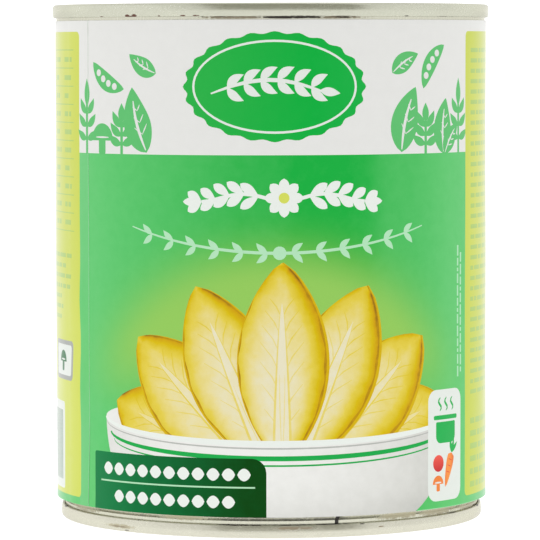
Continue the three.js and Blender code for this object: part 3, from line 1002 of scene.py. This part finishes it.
def triangulated(shapes):
    """Splits the sheet into triangles that follow every outline."""
    places, edges = [], []

    def draw(points, closed=True):
        first = len(places)
        places.extend(subdivided(points, closed))
        edges.extend((i, i + 1) for i in range(first, len(places) - 1))
        if closed:
            edges.append((len(places) - 1, first))

    draw(box(START, LABEL_BOTTOM, END, LABEL_TOP))
    draw([(START, WHITE_BAND_FROM), (END, WHITE_BAND_FROM)], False)
    for shape in shapes:
        draw(shape.points)
    tree = KDTree(len(places))
    for i, (s, z) in enumerate(places):
        tree.insert((s, z, 0), i)
    tree.balance()

    def fill(s0, z0, s1, z1, ds, dz):
        for i, s in enumerate(np.arange(s0 + ds / 2, s1 - ds / 4, ds)):
            for z in np.arange(z0 + dz * (0.5 + 0.25 * (-1) ** i), z1 - dz / 4, dz):
                if tree.find((s, z, 0))[2] > CLEARANCE:
                    places.append((float(s), float(z)))

    fine = [(FINE_BOX[0] + middle, FINE_BOX[2] + middle) for middle in MIDDLES[:2]]
    for s0, s1 in ((START, fine[0][0]), (fine[0][1], fine[1][0]), (fine[1][1], END)):
        fill(s0, LABEL_BOTTOM, s1, LABEL_TOP, GRID_S, GRID_Z)
    for s0, s1 in fine:
        fill(s0, FINE_BOX[1], s1, FINE_BOX[3], FINE_GRID, FINE_GRID)
        fill(s0, FINE_BOX[3], s1, LABEL_TOP, GRID_S, GRID_Z)
    found = delaunay_2d_cdt([Vector(p) for p in places], edges, [], 0, 1e-4, False)
    return np.array([tuple(p) for p in found[0]]), np.array([tuple(f) for f in found[2]])


def smooth_step(value, low, high):
    t = np.clip((value - low) / (high - low), 0, 1)
    return t * t * (3 - 2 * t)


LOOSE_STRIP = 4.6  # the field's strip beside the lap's edge: painted light, a paler tone where it catches light
LOOSE_CORNER = 0.6  # how far the foot of the lap's edge is drawn back
BUCKLES = [  # (height on the can, reach up and down, how far the paper stands out)
    (52.0, 5.0, 0.24),
    (31.0, 6.0, 0.2),
    (70.0, 7.0, 0.1),
    (41.0, 4.0, -0.1),
]


def paper_radius(s, z):
    """The radius of the paper's outside.

    It steps up over its own start, and near the can's foot its edge lifts there. It is slack all round,
    loose and buckled beside the lap, and flares at its top and its foot.
    """
    degrees = np.degrees(s / LABEL_RADIUS)
    a = np.radians(degrees)
    end = LAP_EDGE_DEGREES + 360
    over = smooth_step(degrees, end - LAP_DEGREES - 2.5, end - LAP_DEGREES) * LAP_STEP
    lift = smooth_step(degrees, end - 4.5, end) * 0.05 * smooth_step(-z, -28, -10)
    slack = 0.035 * np.sin(a * 9 + z / 23) + 0.03 * np.sin(z / 7.5 + a * 4)
    loose = smooth_step(degrees, end - 22, end - 8) * (1 - smooth_step(degrees, end - 5, end - 1))
    buckle = loose * sum(height * np.exp(-(((z - at) / reach) ** 2)) for at, reach, height in BUCKLES)
    at_foot = smooth_step(-z, -LABEL_BOTTOM - 2.5, -LABEL_BOTTOM)
    flare = 0.05 * (at_foot + smooth_step(z, LABEL_TOP - 2, LABEL_TOP))
    return LABEL_RADIUS + over + lift + slack + buckle + flare


def on_paper(s, z, depth=0.0):
    """Places on the paper, in metres, at this depth under its outside. Its loose corner is drawn back."""
    drawn_back = LOOSE_CORNER * smooth_step(-z, -24, -5) * smooth_step(s, END - 5.5, END)
    angle = (s - drawn_back) / LABEL_RADIUS
    r = paper_radius(s, z) - depth
    return np.stack([r * np.sin(angle), -r * np.cos(angle), z], 1) * MM


def paper_normals(s, z):
    step = 0.05
    along = on_paper(s + step, z) - on_paper(s - step, z)
    up = on_paper(s, z + step) - on_paper(s, z - step)
    across = np.cross(along, up)
    return across / np.linalg.norm(across, axis=1)[:, None]


def ink_material(name, stops):
    """Offset ink on coated paper: an uneven film, a soft gloss and a trace of fibres."""
    material, nodes = new_material("print_" + name)
    place = nodes.add("UVMap", "UV", uv_map="label_mm")
    film = nodes.noise(place, 0.35, 3.0, 0.6)
    fibres = nodes.noise(place, 7.0, 3.0, 0.6)
    tone = nodes.add("Attribute", "Fac", attribute_name="tone")
    colour = nodes.ramp(nodes.plus(tone, nodes.remap(film, 0.3, 0.7, -0.05, 0.05)), stops)
    if name == "field":
        colour = nodes.mixed(nodes.add("Attribute", "Fac", attribute_name="glow"), colour, linear(GLOW))
    speck = nodes.remap(fibres, 0.3, 0.75, 0.97, 1.03)
    specks = nodes.add("CombineColor", "Color", {0: speck, 1: speck, 2: speck})
    rough = nodes.plus(nodes.remap(film, 0.3, 0.7, 0.34, 0.42), nodes.remap(fibres, 0.3, 0.7, 0.0, 0.05))
    nodes.shade({"Base Color": nodes.mixed(1.0, colour, specks, "MULTIPLY"), "Roughness": rough})
    nodes.shade({"Normal": nodes.bump(fibres, 0.006, 0.5)})
    nodes.shade({"Specular IOR Level": 0.08, "Sheen Weight": 0.9, "Sheen Roughness": 0.28})
    return material


# How deep the field's green is at places from the middle of a facing.
FIELD_PLACES = [-45, -27, -17, -8, 0, 5, 16, 21, 26, 34, 45]
FIELD_DEPTHS = [0.2, 0.44, 0.61, 0.8, 0.85, 1.0, 1.0, 0.9, 0.58, 0.47, 0.2]
# The same up the strip beside the lap's edge, paler there: painted light.
STRIP_PLACES = [22, 38, 52, 66, 80]
STRIP_DEPTHS = [0.0, 0.2, 0.12, 0.05, 0.0]


def printed(shapes, s, z, triangles):
    """Each triangle's ink, and the tone and the glow at its corners."""
    corner_s, corner_z = s[triangles], z[triangles]
    centre_s, centre_z = corner_s.mean(1), corner_z.mean(1)
    inks = list(INKS)
    field = centre_z < WHITE_BAND_FROM
    ink_of = np.where(field, inks.index("field"), inks.index("paper"))
    tone, glow = np.full(triangles.shape, 0.7), np.zeros(triangles.shape)
    for middle in MIDDLES:
        near = field & (np.abs(centre_s - middle) < HALF_TURN / 2)
        off_s, off_z = corner_s[near] - middle, corner_z[near]
        tone[near] = np.interp(off_s, FIELD_PLACES, FIELD_DEPTHS)
        from_middle = np.hypot(off_s / GLOW_OVAL[0], (off_z - GLOW_HEIGHT) / GLOW_OVAL[1])
        beyond = np.clip(from_middle - 0.8, 0, 9)
        glow[near] = np.exp(-22 * beyond**2) * smooth_step(off_z, GLOW_HEIGHT, 46)
    # Painted light: a paler tone on the strip beside the lap's edge.
    strip = field & (centre_s > END - LOOSE_STRIP)
    tone[strip] = np.interp(corner_z[strip], STRIP_PLACES, STRIP_DEPTHS)
    for shape in shapes:
        (s0, z0), (s1, z1) = np.min(shape.points, 0), np.max(shape.points, 0)
        near = np.flatnonzero((centre_s > s0) & (centre_s < s1) & (centre_z > z0) & (centre_z < z1))
        hit = near[inside(shape.points, centre_s[near], centre_z[near])]
        ink_of[hit] = inks.index(shape.ink)
        tone[hit] = shape.tone(corner_s[hit], corner_z[hit])
    return ink_of, tone, glow


def make_label():
    """The sheet: its printed outside, its back, and a rim that joins them."""
    shapes = list(label_artwork())
    flat_places, triangles = triangulated(shapes)
    s, z = flat_places.T
    ink_of, tone, glow = printed(shapes, s, z, triangles)
    count = len(s)
    outside, behind = on_paper(s, z), on_paper(s, z, PAPER)
    front, back = triangles.tolist(), (triangles[:, ::-1] + count).tolist()
    directed = {(a, b) for t in front for a, b in zip(t, t[1:] + t[:1])}
    rim = [(b, a, a + count, b + count) for a, b in directed if (b, a) not in directed]
    mesh = bpy.data.meshes.new("paper_label_wrap")
    mesh.from_pydata(np.concatenate([outside, behind]).tolist(), [], front + back + rim)
    mesh.shade_smooth()

    for name, stops in INKS.items():
        mesh.materials.append(ink_material(name, stops))
    mesh.materials.append(mottled("paper_cut_edge", (222, 236, 220), (196, 222, 198), 0.8, 3000.0, 0.01))
    slots = np.concatenate([ink_of, np.full(len(back) + len(rim), len(INKS))])
    mesh.polygons.foreach_set("material_index", slots.astype(np.int32))
    for attribute, corners in (("tone", tone), ("glow", glow)):
        values = np.full(len(mesh.loops), 0.5, np.float32)
        values[: corners.size] = corners.reshape(-1)
        mesh.attributes.new(attribute, "FLOAT", "CORNER").data.foreach_set("value", values)
    vertex_of = np.empty(len(mesh.loops), np.int32)
    mesh.loops.foreach_get("vertex_index", vertex_of)
    flat_uv = flat_places[vertex_of % count]
    mesh.uv_layers.new(name="label_mm").data.foreach_set("uv", flat_uv.astype(np.float32).reshape(-1))

    normals = paper_normals(s, z)
    loop_normals = normals[vertex_of % count]
    loop_normals[triangles.size : 2 * triangles.size] *= -1
    for k, (b, a, _, _) in enumerate(rim):
        out = np.cross(normals[a], outside[b] - outside[a])
        first = 2 * triangles.size + 4 * k
        loop_normals[first : first + 4] = -out / np.linalg.norm(out)
    mesh.normals_split_custom_set(loop_normals.tolist())
    mesh.update()
    return placed("paper_label_wrap", mesh)


label = make_label()
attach(label, "root")
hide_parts("paper_label")

# ---------------------------------------------------------------- what doesn't show

chicory_flesh = mottled("cooked_chicory", (238, 228, 178), (214, 190, 104), 0.42, 160.0, 0.12)
sealant = mottled("seam_compound", (120, 116, 106), (92, 88, 80), 0.75, 700.0, 0.02)
liquor = mottled("brine", (222, 212, 150), (206, 194, 124), 0.12, 60.0, 0.02)
for name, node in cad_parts.items():
    for part, material in (("endive_head", chicory_flesh), ("sealing_ring", sealant), ("brine", liquor)):
        if part in name:
            node.data.materials.clear()
            node.data.materials.append(material)

# ---------------------------------------------------------------- studio and camera

TENT_STRENGTH = 1.01
TENT_STOPS = [  # (place from straight down, 0, to straight up, 1; sRGB colour)
    (0.508, (255, 255, 255)),
    (0.53, (237, 237, 237)),
    (0.74, (237, 237, 237)),
    (0.82, (212, 212, 214)),
    (0.9, (212, 212, 214)),
    (0.94, (250, 250, 250)),
]
TENT_SIDES = (242, 242, 242)
TENT_BOOSTS = [  # (axis, where it starts, where it is full, how many times brighter)
    ("X", -0.7, -0.9, 1.22),
    ("X", 0.7, 0.9, 1.1),
    ("Y", 0.3, 0.8, 1.35),
]
WHITE, OLIVE = (1.0, 1.0, 1.0, 1.0), (1.0, 1.0, 0.78, 1.0)
FLOOR = [(-4, -4, 0), (4, -4, 0), (4, 4, 0), (-4, 4, 0)]  # these three in metres
PAD = [(-0.2, -0.16, 0.00002), (0.2, -0.16, 0.00002), (0.2, 0.2, 0.00002), (-0.2, 0.2, 0.00002)]
FLAG = [(-0.85, -1.6, 0.07), (1.75, -1.6, 0.07), (0.5, -0.3, 1.3), (-0.6, -0.3, 1.3)]

# The camera that fits the photograph: its place, how far it looks down and leans, and its lens.
CAMERA_PLACE, CAMERA_DOWN, CAMERA_LEAN = (-0.23, -905.5, 108.1), 3.255, -0.104
LENS, SENSOR = 260.4, 36.0


def stage_sheet(name, corners, grey, glow, light):
    """A flat matt sheet of the studio, with some light of its own."""
    mesh = bpy.data.meshes.new(name)
    mesh.from_pydata(corners, [], [tuple(range(len(corners)))])
    sheet = placed(name, mesh)
    material, nodes = new_material(name)
    nodes.shade({"Base Color": (grey, grey, grey, 1), "Roughness": 0.9, "Specular IOR Level": 0.1})
    nodes.shade({"Emission Color": light, "Emission Strength": glow})
    mesh.materials.append(material)
    return sheet


def make_studio():
    """A white floor, a brighter pad under the can, and a grey flag that only the can's gloss sees."""
    stage_sheet("floor", FLOOR, 0.25, 0.85, WHITE)
    stage_sheet("pad", PAD, 0.25, 1.02, WHITE)
    flag = stage_sheet("flag", FLAG, 0.05, 0.25, OLIVE)
    flag.visible_camera = flag.visible_diffuse = flag.visible_shadow = False


def make_tent():
    """White all round, a little darker half way up, and brighter at the sides and behind."""
    world = bpy.data.worlds.new("tent")
    bpy.context.scene.world = world
    world.use_nodes = True
    nodes = Nodes(world.node_tree, "Background")
    direction = dict(zip("XYZ", nodes.split(nodes.add("TexCoord", "Generated"))))
    colour = nodes.ramp(nodes.remap(direction["Z"], -1.0, 1.0), TENT_STOPS)
    sideways = nodes.remap(nodes.maths("ABSOLUTE", direction["X"]), 0.3, 0.5)
    colour = nodes.mixed(sideways, colour, linear(TENT_SIDES))
    strength = TENT_STRENGTH
    for axis, dim, bright, boost in TENT_BOOSTS:
        strength = nodes.times(strength, nodes.remap(direction[axis], dim, bright, 1.0, boost))
    nodes.shade({"Color": colour, "Strength": strength})


def make_camera():
    data = bpy.data.cameras.new("camera")
    data.sensor_width, data.lens = SENSOR, LENS
    data.clip_start, data.clip_end = 0.05, 20.0
    camera = placed("camera", data)
    camera.location = [c * MM for c in CAMERA_PLACE]
    tilt = Matrix.Rotation(radians(90 - CAMERA_DOWN), 4, "X")
    lean = Matrix.Rotation(radians(CAMERA_LEAN), 4, "Z")
    camera.rotation_euler = (tilt @ lean).to_euler()
    bpy.context.scene.camera = camera


make_studio()
make_tent()
make_camera()
bpy.context.scene.view_settings.view_transform = "Standard"
